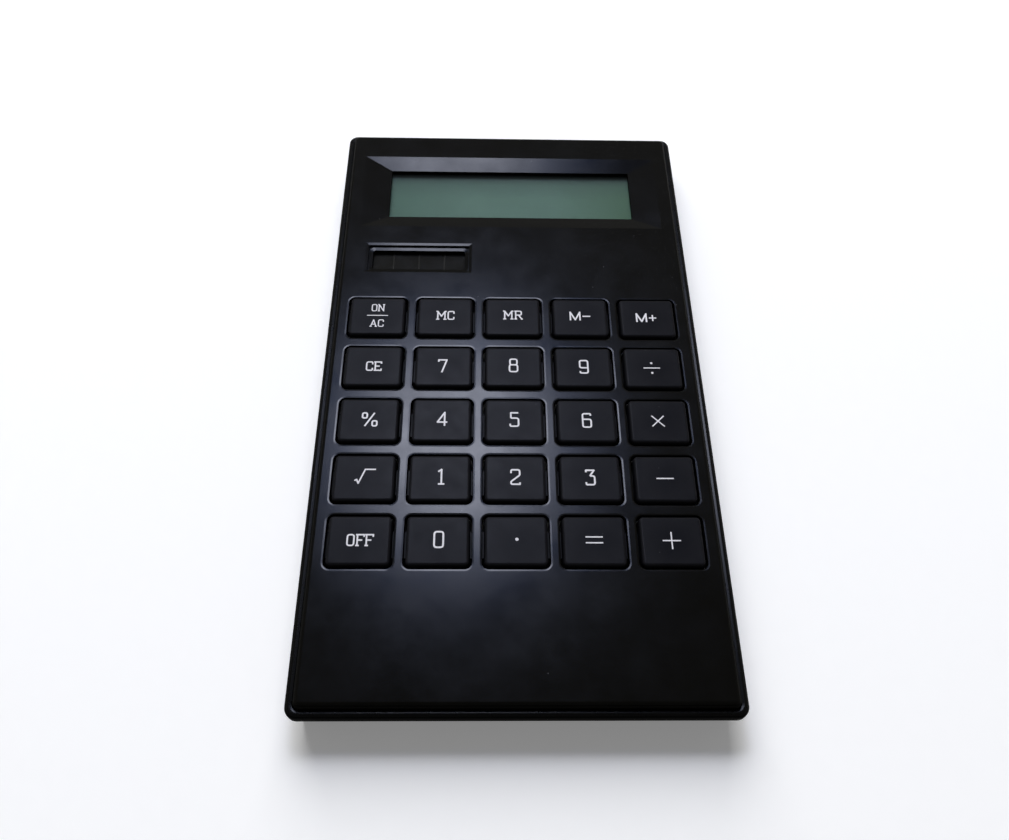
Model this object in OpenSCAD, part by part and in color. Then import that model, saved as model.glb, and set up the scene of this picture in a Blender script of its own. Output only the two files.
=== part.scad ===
// Slim desk calculator with solar and button-cell power.
// Millimetres. +Z up, +Y towards the display, origin on the table under the middle of the case.

/* [Case] */
// Width of the rear cover over its rim
case_w = 104; // [100:0.5:112]
// Length of the rear cover over its rim
case_l = 185; // [183:0.5:197]
// Height of the face above the underside of the case
case_h = 11.2; // [10.8:0.1:14]
// Plan radius of the rim's corners
rim_corner_r = 2.8; // [2.6:0.1:5]
// Width of the rim that shows round the front cover
rim_w = 1.7; // [1.5:0.1:1.9]
// Height of the face above the rim
rim_step = 1.8; // [1:0.1:2.4]
// Height of the upright band under the rim
rim_band = 2.6; // [1.6:0.1:3]
// Rounding of the rim's outer edge
rim_edge_r = 1.1; // [0.5:0.1:1.2]
// Drop of the rim's top towards the front cover
rim_slope_drop = 0.12; // [0.05:0.01:0.2]
// How far the sides lean in by the time they reach the underside
base_inset = 2.4; // [1.2:0.1:2.6]
// Thickness of the rear cover's floor
floor_t = 1.6; // [1.2:0.1:2]
// Gap between the rim and the front cover
cover_gap = 0.3; // [0.2:0.05:0.4]
// Thickness of the front cover's skirt
skirt_t = 2.1; // [1.7:0.1:2.3]
// Depth of the front cover from the face to the foot of its skirt
skirt_h = 6; // [5:0.1:6.6]
// Thickness of the face
plate_t = 2; // [1.6:0.1:2.2]
// Rounding of the face's outer edge
face_edge_r = 1.2; // [0.4:0.1:1.3]

/* [Feet] */
// Diameter of a rubber foot
foot_d = 8; // [6:0.5:10]
// How far the feet stand below the case
foot_h = 0.8; // [0.6:0.1:1.5]
// Depth of the pocket that holds a foot
foot_pocket = 0.5; // [0.3:0.1:0.8]
// Distance from a side of the case to the middle of a foot
foot_side = 18; // [16:0.5:22]
// Distance from an end of the case to the middle of a foot
foot_end = 18.5; // [16.5:0.5:22.5]

/* [Keys] */
// Distance from a side of the case to the outer key openings
keys_side = 5.75; // [5.25:0.05:7]
// Width of the bar between two key columns
key_bar = 2.5; // [2.2:0.1:3.2]
// Distance between key rows
key_pitch_y = 17; // [16.6:0.1:17.6]
// Distance from the far end of the case to the middle of the key field
keys_end = 109.6; // [109:0.1:112]
// Height of a key opening
opening_h = 14.1; // [13:0.1:14.4]
// Corner radius of a key opening
opening_r = 1.7; // [1.5:0.1:2.4]
// Chamfer round a key opening
opening_chamfer = 0.15; // [0.1:0.05:0.2]
// Width of the gentle slope outside that chamfer
lip_w = 0.4; // [0.2:0.05:0.45]
// Drop of the gentle slope
lip_drop = 0.04; // [0.03:0.01:0.1]
// Gap between a key and its opening
key_gap = 0.35; // [0.25:0.05:0.45]
// Height of a key above the face
key_rise = 0.7; // [0.5:0.1:2.4]
// How much each side of a key leans in by its top
key_draft = 0.25; // [0.1:0.05:0.3]
// Rounding of a key's top edge
key_edge_r = 0.7; // [0.3:0.1:0.8]
// Thickness of a key's top
key_top_t = 1.4; // [1:0.1:1.8]
// Thickness of a key's sides
key_wall = 1.2; // [0.9:0.1:1.5]
// Travel of a key
key_travel = 1; // [0.6:0.1:1.2]
// How far the key's tabs reach under the face
tab_lap = 0.7; // [0.4:0.1:0.8]
// Thickness of the key's tabs
tab_t = 0.9; // [0.7:0.1:1.1]
// Length of the key's tabs
tab_l = 7; // [5:0.5:8]
// Gap between a resting key's tabs and the face
key_rest_gap = 0.1; // [0.05:0.05:0.2]
// Diameter of the key's plunger
plunger_d = 4.4; // [3.5:0.1:5]

/* [Keypad mat and board] */
// Depth of the board's upper face below the calculator's face
board_drop = 5.6; // [5.4:0.1:6]
// Thickness of the board
board_t = 1.2; // [0.8:0.1:1.6]
// Gap between the board and the skirt
board_gap = 0.7; // [0.4:0.1:1]
// Thickness of the mat's sheet
mat_t = 0.8; // [0.6:0.1:1]
// Height of a dome above the sheet
dome_h = 1.6; // [1.5:0.1:1.8]
// Diameter of a dome at the sheet
dome_d = 9; // [8:0.1:10]
// Diameter of a dome's top
dome_top_d = 5; // [4.4:0.1:5.4]
// Thickness of a dome's wall
dome_wall = 0.5; // [0.35:0.05:0.6]
// Diameter of the contact tip inside a dome
tip_d = 3; // [2.4:0.1:3.4]
// Diameter of the chip's potting blob
blob_d = 12; // [9:0.5:14]
// Height of the chip's potting blob
blob_h = 1.4; // [1:0.1:1.7]

/* [Display] */
// Distance from the far end of the case to the middle of the display opening
window_end = 26.3; // [25.9:0.1:26.9]
// Width of the display opening
window_w = 74.6; // [70:0.1:76]
// Height of the display opening
window_h = 19.5; // [17:0.1:20]
// Distance from a side of the case to the display frame
bezel_margin = 6.4; // [5.7:0.1:7.7]
// Width of the slope above the display
bezel_top = 5; // [4:0.1:5.6]
// Width of the slope below the display
bezel_bottom = 5; // [4:0.1:5.4]
// Depth of the display frame's slope
bezel_depth = 1.3; // [1:0.1:1.6]
// Height of the upright wall below the slope
window_wall = 1.2; // [1:0.1:1.5]
// How far the clear window reaches past the opening
window_lap = 2.3; // [1.6:0.1:2.5]
// Thickness of the clear window
window_t = 0.8; // [0.6:0.1:1]
// Thickness of each sheet of the display's glass
glass_t = 0.7; // [0.5:0.1:0.8]
// Thickness of the front polariser
polariser_t = 0.2; // [0.15:0.05:0.3]
// Thickness of the reflector behind the display
reflector_t = 0.3; // [0.2:0.05:0.4]
// Width of the display's contact ledge
ledge_w = 2.6; // [2:0.1:3]
// Thickness of the display holder's walls
holder_t = 1.2; // [1:0.1:1.4]
// Gap between the display ribbon and the wires beside it
ribbon_gap = 3.4; // [2:0.1:5]
// Thickness of the display ribbon
ribbon_t = 0.15; // [0.1:0.05:0.25]

/* [Solar panel] */
// Distance from the left side of the case to the middle of the solar recess
solar_side = 24.6; // [23:0.1:26]
// Distance from the far end of the case to the middle of the solar recess
solar_end = 53.4; // [52.8:0.1:54]
// Width of the solar recess
solar_w = 31.2; // [29:0.1:32]
// Height of the solar recess
solar_h = 11.2; // [10.4:0.1:11.6]
// Width of the slope round the recess
solar_rim_w = 0.8; // [0.6:0.1:1.1]
// Drop of the slope round the recess
solar_rim_drop = 0.14; // [0.1:0.01:0.3]
// Height of the upright step inside that slope
solar_step = 0.75; // [0.5:0.05:0.85]
// Width of the flat ledge inside the step
solar_ledge = 0.15; // [0.1:0.05:0.3]
// Width of the sloped frame inside the ledge
solar_slope = 1.1; // [0.9:0.1:1.3]
// Depth of the sloped frame
solar_depth = 0.2; // [0.15:0.01:0.3]
// Height of the upright wall under the slope
solar_wall = 1.25; // [1:0.05:1.35]
// Corner radius of the solar opening
solar_r = 0.8; // [0.5:0.1:1.2]
// How far the panel reaches past its opening
solar_lap = 1.4; // [1:0.1:1.6]
// Thickness of the panel's glass
solar_glass_t = 0.8; // [0.6:0.1:1]
// Thickness of the cells behind the glass
solar_cell_t = 0.25; // [0.15:0.05:0.35]
// Number of cells
solar_cell_count = 4; // [2:1:6]
// Gap between cells
solar_cell_gap = 0.4; // [0.25:0.05:0.6]

/* [Battery] */
// Diameter of the button cell
cell_d = 11.6; // [11:0.1:11.8]
// Height of the button cell
cell_h = 3.05; // [2.6:0.05:3.2]
// Distance from the right side of the case to the middle of the cell
cell_side = 30; // [28:0.5:31]
// Distance from the far end of the case to the middle of the cell
cell_end = 52.5; // [51:0.1:52.7]
// Gap between the cell and its well
cell_gap = 0.3; // [0.2:0.05:0.4]
// Thickness of the battery door
door_t = 1.4; // [1.2:0.1:1.6]
// Gap round the battery door
door_gap = 0.2; // [0.1:0.05:0.3]
// Distance from the cell to the door's screw
door_screw_x = 10; // [9.6:0.1:11]
// Thickness of the contact strips
strip_t = 0.25; // [0.2:0.05:0.35]
// Width of the contact strips
strip_w = 3; // [2:0.1:4]

/* [Screws and wires] */
// Diameter of the case screws' shanks
case_screw_d = 1.9; // [1.6:0.1:2.2]
// Diameter of the small screws' shanks
small_screw_d = 1.5; // [1.3:0.1:1.6]
// Gap round a shank in the hole it threads into
thread_gap = 0.05; // [0.03:0.01:0.08]
// Gap round a shank in a clearance hole
shank_gap = 0.25; // [0.15:0.05:0.3]
// Diameter of the front cover's case posts
post_d = 5.2; // [4.6:0.1:5.4]
// Depth of the recess for a case screw's head
screw_recess = 2; // [1.8:0.1:2.2]
// Thickness of the seat under a case screw's head
seat_t = 1.2; // [1:0.1:1.4]
// Diameter of the wires
wire_d = 0.8; // [0.6:0.1:1]

/* [Hidden] */
$fn = 48;
key_names = [
    "on_ac", "mc", "mr", "m_minus", "m_plus",
    "ce", "7", "8", "9", "divide",
    "percent", "4", "5", "6", "multiply",
    "root", "1", "2", "3", "minus",
    "off", "0", "point", "equals", "plus"
];
case_nodes = [
    "rear_cover", "front_cover", "rubber_feet", "case_screws",
    "display_window", "lcd_front_polariser", "lcd_front_glass", "lcd_rear_glass",
    "lcd_reflector", "lcd_frame", "display_screws", "lcd_ribbon",
    "solar_glass", "solar_cells", "solar_wires",
    "keypad_mat", "circuit_board", "board_screws",
    "chip_blob", "filter_capacitor", "chip_resistors",
    "button_cell", "battery_spring", "battery_clip", "battery_wires",
    "battery_door", "door_screw"
];

columns = 5;
rows = 5;
// Overshoot that lets a cut clear the face it starts from
cut = 1;

// Heights above the table
base_z = foot_h;
floor_z = base_z + floor_t;
face_z = base_z + case_h;
rim_z = face_z - rim_step;
plate_z = face_z - plate_t;
seat_z = face_z - skirt_h;
board_z = face_z - board_drop;
mat_z = board_z + mat_t;
dome_z = mat_z + dome_h;
tab_z = plate_z - key_rest_gap - tab_t;

// Places measured from the sides and ends of the case
foot_x = case_w / 2 - foot_side;
foot_y = case_l / 2 - foot_end;
keys_y = case_l / 2 - keys_end;
window_y = case_l / 2 - window_end;
solar_x = solar_side - case_w / 2;
solar_y = case_l / 2 - solar_end;
cell_x = case_w / 2 - cell_side;
cell_y = case_l / 2 - cell_end;

// Plan of the covers
cover_inset = rim_w + cover_gap;
cover_w = case_w - 2 * cover_inset;
cover_l = case_l - 2 * cover_inset;
// Plan radius that the face's rounded edge leaves at its corners
face_corner_r = 0.2;
cover_r = face_edge_r + face_corner_r;
// The rim's top is flat for a little way, then slopes towards the front cover
rim_flat = 0.1;
rim_slope_w = rim_w - rim_edge_r - rim_flat;
inner_w = cover_w - 2 * skirt_t;
inner_l = cover_l - 2 * skirt_t;
inner_r = 1;
// How far the rear cover's seat reaches past the skirt
seat_lap = 0.3;

// Display heights and plan
window_seat_z = face_z - bezel_depth - window_wall;
polariser_z = window_seat_z - window_t - polariser_t;
front_glass_z = polariser_z - glass_t;
rear_glass_z = front_glass_z - glass_t;
reflector_z = rear_glass_z - reflector_t;
holder_z = reflector_z - holder_t;
pane_w = window_w + 2 * window_lap;
pane_h = window_h + 2 * window_lap;
pane_r = 0.8;
window_r = 0.4;
// Width of the flat flange that the clear window is glued to
flange_margin = 0.9;
flange_w = window_lap + flange_margin;
// How far the display glass reaches past the opening
glass_margin = 0.4;
glass_lap = window_lap + glass_margin;
glass_w = window_w + 2 * glass_lap;
// The front glass is cut short at its lower edge, which bares the contact ledge
glass_trim = 1.9;
glass_shift = 0.55;
glass_h = window_h + 2 * glass_lap - glass_trim;
glass_y = window_y + glass_shift;
// How far the films stay back from the edge of the glass
film_inset = 0.8;
film_r = 0.4;
rear_glass_h = glass_h + ledge_w;
rear_glass_y = glass_y - ledge_w / 2;
glass_gap = 0.3;
holder_w = glass_w + 2 * glass_gap + 2 * holder_t;
tray_h = rear_glass_h + 2 * glass_gap + 2 * holder_t;
bezel_side = (case_w - window_w) / 2 - bezel_margin;
// Ears above and below the tray, clear of the sides of the case
ear_d = 5;
ear_reach = ear_d * 0.4;
ear_x = glass_w * 3 / 8;
ear_y0 = rear_glass_y - tray_h / 2 - ear_reach;
ear_y1 = rear_glass_y + tray_h / 2 + ear_reach;

// Key sizes
opening_w = (case_w - 2 * keys_side - (columns - 1) * key_bar) / columns;
key_pitch_x = opening_w + key_bar;
cap_w = opening_w - 2 * key_gap;
cap_h = opening_h - 2 * key_gap;
cap_r = opening_r - key_gap;
cap_z = face_z + key_rise;
keys_top = keys_y + (rows - 1) / 2 * key_pitch_y + opening_h / 2;
keys_bottom = keys_y - (rows - 1) / 2 * key_pitch_y - opening_h / 2;

// Board plan
board_margin = 3;
// Strip of board above the keys that takes the ribbon and the wires
board_strip = 6.8;
mat_margin = 0.6;
board_w = inner_w - 2 * board_gap;
board_y0 = keys_bottom - board_margin;
board_y1 = keys_top + tab_lap + board_strip;
mat_y1 = keys_top + tab_lap + mat_margin;
boss_wall = 1.1;
board_boss_d = small_screw_d + 2 * boss_wall;
small_head_lap = 0.9;
small_head_d = small_screw_d + 2 * small_head_lap;
small_head_t = 1.1;
small_screw_l = 2.4;
// Room left past a screw's tip in its hole
tip_room = 0.3;

// Case posts and screws
post_gap = 0.5;
post_side = 3.2;
post_tab_gap = 1;
post_x = inner_w / 2 - post_d / 2 - post_side;
post_end_y = inner_l / 2 - seat_lap - post_gap - post_d / 2;
post_mid_y = keys_top + tab_lap + post_tab_gap + post_d / 2;
rear_post_z = base_z + screw_recess + seat_t;
rear_post_wall = 0.6;
rear_post_d = post_d + 2 * rear_post_wall;
head_d = 2 * case_screw_d;
head_t = 1.4;
head_gap = 0.3;
screw_z = base_z + screw_recess;
screw_end_gap = 1;
screw_end_z = plate_z - screw_end_gap;

// Solar heights and plan
solar_ledge_z = face_z - solar_rim_drop - solar_step;
solar_open_w = solar_w - 2 * (solar_rim_w + solar_ledge + solar_slope);
solar_open_h = solar_h - 2 * (solar_rim_w + solar_ledge + solar_slope);
solar_seat_z = solar_ledge_z - solar_depth - solar_wall;
solar_pane_w = solar_open_w + 2 * solar_lap;
solar_pane_h = solar_open_h + 2 * solar_lap;
solar_glass_z = solar_seat_z - solar_glass_t;
solar_cell_z = solar_glass_z - solar_cell_t;
solar_rib_t = 1;
solar_step_r = 0.3;
solar_pane_r = 0.4;

// Battery plan and heights
well_d = cell_d + 2 * cell_gap;
well_wall = 1.2;
door_margin = 2.4;
door_r = 1.5;
// Door left beyond its screw
door_end = 4;
door_x0 = cell_x - well_d / 2 - door_margin;
door_x1 = cell_x + door_screw_x + door_end;
door_w = door_x1 - door_x0;
door_h = well_d + 2 * door_margin;
door_top_z = base_z + door_t;
pad_margin = 2;
pad_r = 2;
pad_t = 1.4;
well_lip = 1;
door_post_h = 1.6;
door_post_wall = 1.5;
pad_z = door_top_z + pad_t;
well_z = pad_z + well_lip;
cell_z = door_top_z;
strip_arm_z = cell_z + cell_h;
door_post_z = pad_z + door_post_h;
// Feet of the two contact strips on the battery pad
strip_foot_l = 2.2;
spring_leg_x = cell_x - well_d / 2 - well_wall;
spring_foot_x = spring_leg_x - strip_foot_l / 2;
clip_foot_y = cell_y + cell_d / 2 + strip_t + strip_foot_l;
door_head_t = 0.7;
// How far the door screw's head is sunk below the door
door_head_sink = 0.1;

// Wires
wire_bend_r = 0.6;
wire_rise = 1;
wire_leg = 0.1;
wire_edge = 1.2;
wire_run_z = board_z + wire_rise;
// The solar wires run lower where the panel sits low
solar_run_z = min(wire_run_z, solar_cell_z - wire_bend_r - wire_leg);
wire_end_y = board_y1 - wire_edge;
solar_pitch = solar_pane_w / solar_cell_count;
// The ribbon lies between the last solar wire and the spring's wire
ribbon_x0 = solar_x + (solar_pane_w - solar_pitch) / 2 + ribbon_gap;
ribbon_x1 = spring_foot_x - ribbon_gap;

// Shared shapes

// Flat rounded rectangle
module rounded_rect(w, l, r) {
    square([w - 2 * r, l], center = true);
    square([w, l - 2 * r], center = true);
    for (x = [-1, 1], y = [-1, 1])
        translate([x * (w / 2 - r), y * (l / 2 - r)])
            circle(r);
}

// Upright block with a rounded plan
module rounded_block(w, l, r, h) {
    linear_extrude(h)
        rounded_rect(w, l, r);
}

// A bar along one axis whose two long edges follow the half profile given as a child
module edged_bar(w, l, r, h) {
    rotate([90, 0, 0])
        linear_extrude(l - 2 * r, center = true) {
            for (side = [0, 1])
                mirror([side, 0])
                    translate([w / 2 - r, 0])
                        children();
            translate([r - w / 2, 0])
                square([w - 2 * r, h]);
        }
}

// Rounded block whose whole outer edge follows a half profile, measured from the corner's centre
module edged_block(w, l, r, h) {
    edged_bar(w, l, r, h)
        children();
    rotate([0, 0, 90])
        edged_bar(l, w, r, h)
            children();
    for (x = [-1, 1], y = [-1, 1])
        translate([x * (w / 2 - r), y * (l / 2 - r), 0])
            rotate_extrude()
                children();
}

// Quarter disc that rounds an upper edge
module edge_round(r) {
    intersection() {
        circle(r);
        square(r);
    }
}

// Half profile of a block with a rounded upper edge and a side that leans in by draft
module round_top_profile(r, h, draft, edge_r) {
    polygon([
        [0, 0], [r, 0], [r - draft, h - edge_r], [r - draft - edge_r, h - edge_r],
        [r - draft - edge_r, h], [0, h]
    ]);
    translate([r - draft - edge_r, h - edge_r])
        edge_round(edge_r);
}

// Half profile of an opening that flares by flare over its upper rise
module flared_profile(r, h, flare, rise) {
    polygon([[0, 0], [r, 0], [r, h - rise], [r + flare, h], [0, h]]);
}

// Half profile of a key opening: a small chamfer, then a gentle slope that catches the light
module lip_profile(r, h) {
    polygon([
        [0, 0], [r, 0], [r, h - lip_drop - opening_chamfer], [r + opening_chamfer, h - lip_drop],
        [r + opening_chamfer + lip_w, h], [0, h]
    ]);
}

// Sunk picture-frame slope: w by l at the top, narrowing by its side, top and bottom widths
module mitred_sink(w, l, side, top, bottom, depth) {
    intersection() {
        rotate([90, 0, 0])
            linear_extrude(l, center = true)
                polygon([
                    [-w / 2, 0], [w / 2, 0], [w / 2 - side, -depth], [side - w / 2, -depth]
                ]);
        rotate([90, 0, 90])
            linear_extrude(w, center = true)
                polygon([
                    [-l / 2, 0], [l / 2, 0], [l / 2 - top, -depth], [bottom - l / 2, -depth]
                ]);
    }
}

// Screw with its head down and its shank up, standing on the underside of its seat
module screw(shank_d, shank_l, head_d, head_t) {
    slot_w = head_d / 6;
    slot_l = head_d * 0.62;
    difference() {
        union() {
            cylinder(d = shank_d, h = shank_l);
            translate([0, 0, -head_t])
                cylinder(d = head_d, h = head_t);
        }
        for (turn = [0, 90])
            rotate([0, 0, turn])
                translate([-slot_l / 2, -slot_w / 2, -head_t - cut])
                    cube([slot_l, slot_w, cut + head_t / 2]);
    }
}

// Places

// Every key's place on the face
module at_keys() {
    for (row = [0:rows - 1], column = [0:columns - 1])
        at_key(row, column)
            children();
}

module at_key(row, column) {
    translate([
        (column - (columns - 1) / 2) * key_pitch_x,
        keys_y + ((rows - 1) / 2 - row) * key_pitch_y,
        0
    ])
        children();
}

// The posts that carry the board, where the gaps between keys cross
module at_board_posts() {
    for (side = [-1, 1], row = [0:rows - 2])
        translate([
            side * (columns - 2) / 2 * key_pitch_x, keys_y + (row - (rows - 2) / 2) * key_pitch_y, 0
        ])
            children();
}

// The posts that join the two covers
module at_case_posts() {
    for (x = [-1, 1], y = [-post_end_y, post_mid_y, post_end_y])
        translate([x * post_x, y, 0])
            children();
}

// The ears that carry the display holder
module at_ears() {
    for (x = [-1, 1], y = [ear_y0, ear_y1])
        translate([x * ear_x, y, 0])
            children();
}

module at_feet() {
    for (x = [-1, 1], y = [-1, 1])
        translate([x * foot_x, y * foot_y, 0])
            children();
}

module at_cell() {
    translate([cell_x, cell_y, 0])
        children();
}

module at_door() {
    translate([(door_x0 + door_x1) / 2, cell_y, 0])
        children();
}

module at_door_screw() {
    translate([cell_x + door_screw_x, cell_y, 0])
        children();
}

// Rear cover

// Half profile of the rear cover: leaning side, upright band, rounded edge
module rear_profile() {
    h = rim_z - base_z;
    r = rim_corner_r;
    polygon([
        [0, 0], [r - base_inset, 0], [r, h - rim_band], [r, h - rim_edge_r],
        [r - rim_edge_r, h - rim_edge_r], [r - rim_edge_r, h], [0, h]
    ]);
    translate([r - rim_edge_r, h - rim_edge_r])
        edge_round(rim_edge_r);
}

module rear_shell() {
    upper_w = case_w - 2 * rim_w;
    upper_l = case_l - 2 * rim_w;
    upper_r = cover_r + cover_gap;
    lower_w = inner_w - 2 * seat_lap;
    lower_l = inner_l - 2 * seat_lap;
    difference() {
        translate([0, 0, base_z])
            edged_block(case_w, case_l, rim_corner_r, rim_z - base_z)
                rear_profile();
        translate([0, 0, seat_z])
            edged_block(upper_w, upper_l, upper_r, rim_z - seat_z)
                flared_profile(upper_r, rim_z - seat_z, rim_slope_w, rim_slope_drop);
        translate([0, 0, floor_z])
            rounded_block(lower_w, lower_l, inner_r, face_z);
    }
}

// Raised pad and ring that hold the button cell, and the post for the door's screw
module battery_well() {
    at_door()
        translate([0, 0, floor_z - floor_t / 2])
            rounded_block(
                door_w + 2 * pad_margin, door_h + 2 * pad_margin, pad_r, pad_z - floor_z + floor_t / 2
            );
    at_cell()
        translate([0, 0, floor_z])
            cylinder(d = well_d + 2 * well_wall, h = well_z - floor_z);
    at_door_screw()
        translate([0, 0, floor_z])
            cylinder(d = case_screw_d + 2 * door_post_wall, h = door_post_z - floor_z);
}

module rear_posts() {
    at_case_posts()
        translate([0, 0, base_z + floor_t / 2])
            cylinder(d = rear_post_d, h = rear_post_z - base_z - floor_t / 2);
    // Props under the board, so that a hard press doesn't bend it
    prop_d = 4;
    prop_gap = 0.1;
    for (x = [-1, 1], y = [-1, 1])
        translate([x * key_pitch_x / 2, keys_y + y * key_pitch_y, floor_z - floor_t / 2])
            cylinder(d = prop_d, h = board_z - board_t - prop_gap - floor_z + floor_t / 2);
}

module rear_cover() {
    color([0.05, 0.05, 0.055])
        difference() {
            union() {
                rear_shell();
                rear_posts();
                battery_well();
            }
            at_case_posts() {
                translate([0, 0, base_z - cut])
                    cylinder(d = head_d + 2 * head_gap, h = cut + screw_recess);
                cylinder(d = case_screw_d + 2 * shank_gap, h = face_z);
            }
            at_feet()
                translate([0, 0, base_z - cut])
                    cylinder(d = foot_d, h = cut + foot_pocket);
            at_door()
                translate([0, 0, base_z - cut])
                    rounded_block(
                        door_w + 2 * door_gap, door_h + 2 * door_gap, door_r + door_gap, cut + door_t
                    );
            at_cell() {
                cylinder(d = well_d, h = face_z);
                // Slots in the ring for the two contact strips
                translate([-well_d, -strip_w / 2 - shank_gap, pad_z])
                    cube([well_d, strip_w + 2 * shank_gap, face_z]);
                translate([-strip_w / 2 - shank_gap, 0, pad_z])
                    cube([strip_w + 2 * shank_gap, well_d, face_z]);
            }
            at_door_screw()
                cylinder(d = case_screw_d + 2 * thread_gap, h = door_post_z - 2 * tip_room);
        }
}

// Front cover

module front_shell() {
    difference() {
        translate([0, 0, seat_z])
            edged_block(cover_w, cover_l, cover_r, skirt_h)
                round_top_profile(cover_r, skirt_h, 0, face_edge_r);
        translate([0, 0, seat_z - cut])
            rounded_block(inner_w, inner_l, inner_r, plate_z - seat_z + cut);
    }
}

// Slope of the display frame, from the face down to the opening
module display_slope(drop) {
    slope_w = window_w + 2 * bezel_side;
    slope_h = window_h + bezel_top + bezel_bottom;
    translate([0, window_y + (bezel_top - bezel_bottom) / 2, face_z - drop])
        mitred_sink(slope_w, slope_h, bezel_side, bezel_top, bezel_bottom, bezel_depth);
}

// Underside of the display frame: the same slope one wall lower, the window's flange and the ears
module display_well() {
    display_slope(window_wall);
    translate([0, window_y, window_seat_z])
        rounded_block(
            window_w + 2 * flange_w, window_h + 2 * flange_w, inner_r,
            plate_z - window_seat_z + plate_t / 2
        );
    at_ears()
        translate([0, 0, window_seat_z])
            cylinder(d = ear_d, h = plate_z - window_seat_z + plate_t / 4);
}

// Seat and ribs that hold the solar panel under the face
module solar_pocket() {
    rib_w = solar_pane_w + 2 * solar_rib_t + 2 * glass_gap;
    rib_h = solar_pane_h + 2 * solar_rib_t + 2 * glass_gap;
    difference() {
        translate([solar_x, solar_y, solar_glass_z])
            rounded_block(rib_w, rib_h, inner_r, plate_z - solar_glass_z + plate_t / 4);
        translate([solar_x, solar_y, solar_glass_z - cut])
            rounded_block(
                solar_pane_w + 2 * glass_gap, solar_pane_h + 2 * glass_gap, solar_pane_r,
                solar_glass_t + cut
            );
    }
}

// Sloped rim, upright step, inner slope and opening over the solar panel
module solar_cut() {
    step_w = solar_w - 2 * solar_rim_w;
    step_h = solar_h - 2 * solar_rim_w;
    slope_h = solar_depth + solar_wall;
    translate([solar_x, solar_y, face_z])
        mitred_sink(solar_w, solar_h, solar_rim_w, solar_rim_w, solar_rim_w, solar_rim_drop);
    translate([solar_x, solar_y, solar_ledge_z])
        rounded_block(step_w, step_h, solar_step_r, solar_step + solar_rim_drop);
    translate([solar_x, solar_y, solar_seat_z])
        edged_block(solar_open_w, solar_open_h, solar_r, slope_h)
            flared_profile(solar_r, slope_h, solar_slope, solar_depth);
    translate([solar_x, solar_y, solar_seat_z - cut])
        rounded_block(solar_open_w, solar_open_h, solar_r, 2 * cut);
}

module key_openings() {
    at_keys()
        translate([0, 0, plate_z - cut])
            edged_block(opening_w, opening_h, opening_r, plate_t + cut)
                lip_profile(opening_r, plate_t + cut);
}

module front_posts() {
    // The posts run a little way into the face, so that they join it
    root = plate_t / 4;
    at_case_posts()
        translate([0, 0, rear_post_z])
            cylinder(d = post_d, h = plate_z - rear_post_z + root);
    at_board_posts()
        translate([0, 0, board_z])
            cylinder(d = board_boss_d, h = plate_z - board_z + root);
}

module front_cover() {
    color([0.06, 0.06, 0.065])
        difference() {
            union() {
                front_shell();
                front_posts();
                display_well();
                solar_pocket();
            }
            display_slope(0);
            translate([0, window_y, window_seat_z - cut])
                rounded_block(window_w, window_h, window_r, bezel_depth + window_wall + cut);
            solar_cut();
            key_openings();
            at_case_posts()
                cylinder(d = case_screw_d + 2 * thread_gap, h = screw_end_z + tip_room);
            at_board_posts()
                cylinder(d = small_screw_d + 2 * thread_gap, h = board_z + small_screw_l + tip_room);
            at_ears()
                cylinder(
                    d = small_screw_d + 2 * thread_gap,
                    h = window_seat_z + small_screw_l - holder_t + tip_room
                );
        }
}

// Feet and screws

module rubber_feet() {
    color([0.08, 0.08, 0.08])
        at_feet()
            rotate_extrude()
                polygon([
                    [0, 0], [foot_d / 2 - foot_h / 2, 0], [foot_d / 2, foot_h / 2],
                    [foot_d / 2, foot_h + foot_pocket], [0, foot_h + foot_pocket]
                ]);
}

module case_screws() {
    color([0.5, 0.5, 0.52])
        at_case_posts()
            translate([0, 0, screw_z])
                screw(case_screw_d, screw_end_z - screw_z, head_d, head_t);
}

module board_screws() {
    color([0.5, 0.5, 0.52])
        at_board_posts()
            translate([0, 0, board_z - board_t])
                screw(small_screw_d, board_t + small_screw_l, small_head_d, small_head_t);
}

module display_screws() {
    color([0.5, 0.5, 0.52])
        at_ears()
            translate([0, 0, window_seat_z - holder_t])
                screw(small_screw_d, small_screw_l, small_head_d, small_head_t);
}

// Display

module display_window() {
    color([0.85, 0.9, 0.88, 0.3])
        translate([0, window_y, window_seat_z - window_t])
            rounded_block(pane_w, pane_h, pane_r, window_t);
}

module lcd_front_polariser() {
    color([0.45, 0.5, 0.44])
        translate([0, glass_y, polariser_z])
            rounded_block(glass_w - 2 * film_inset, glass_h - 2 * film_inset, film_r, polariser_t);
}

module lcd_front_glass() {
    color([0.7, 0.76, 0.72, 0.4])
        translate([-glass_w / 2, glass_y - glass_h / 2, front_glass_z])
            cube([glass_w, glass_h, glass_t]);
}

module lcd_rear_glass() {
    color([0.7, 0.76, 0.72, 0.4])
        translate([-glass_w / 2, rear_glass_y - rear_glass_h / 2, rear_glass_z])
            cube([glass_w, rear_glass_h, glass_t]);
}

module lcd_reflector() {
    color([0.6, 0.65, 0.58])
        translate([0, glass_y, reflector_z])
            rounded_block(glass_w - 2 * film_inset, glass_h - 2 * film_inset, film_r, reflector_t);
}

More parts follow.
